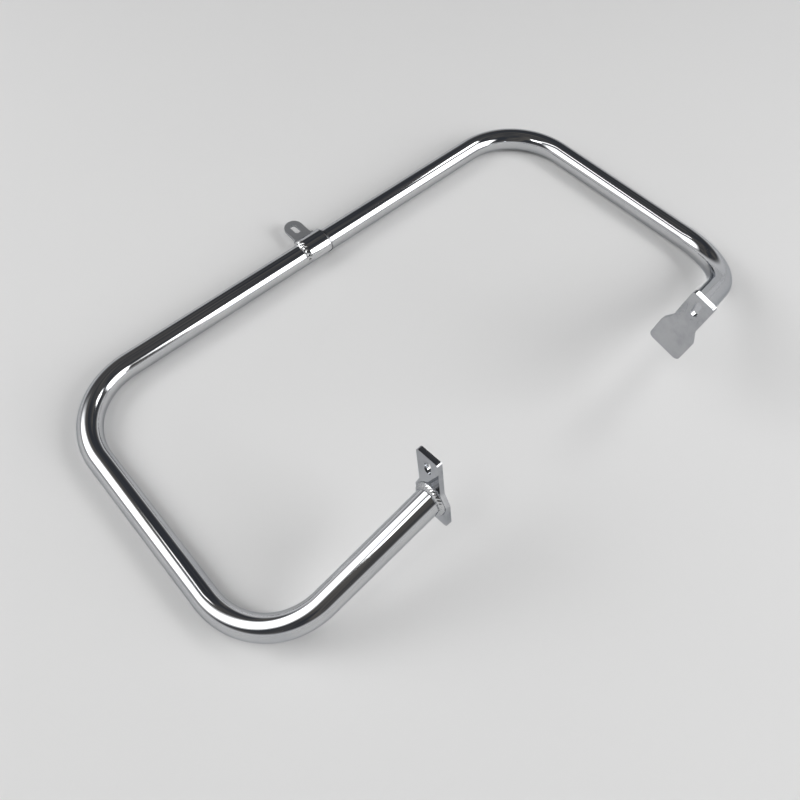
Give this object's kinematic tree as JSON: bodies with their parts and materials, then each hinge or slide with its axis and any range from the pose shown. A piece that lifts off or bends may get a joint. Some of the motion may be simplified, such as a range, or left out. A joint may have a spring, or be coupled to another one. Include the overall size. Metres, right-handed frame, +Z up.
{
  "type": "motorcycle crash bar",
  "caption": "Chromed bent-tube engine guard that runs across a motorcycle and down its sides, with slotted end plates and a slotted centre strap to bolt it to the frame.",
  "frame": {"origin": "on the floor below the middle of the bar's bounding box, as it lies at rest", "axes": "+X along the top run towards the right end, -Y along the legs, +Z up from the floor, the way the returns rise"},
  "size_m": [0.8462, 0.5514, 0.1956],
  "materials": {
    "chrome": "polished chrome plating on steel",
    "weld": "chromed weld bead"
  },
  "bodies": {
    "root": {"centre_strap": "chrome", "left_plate": "chrome", "main_tube": "chrome", "right_plate": "chrome", "weld_beads": "weld"}
  },
  "joints": []
}
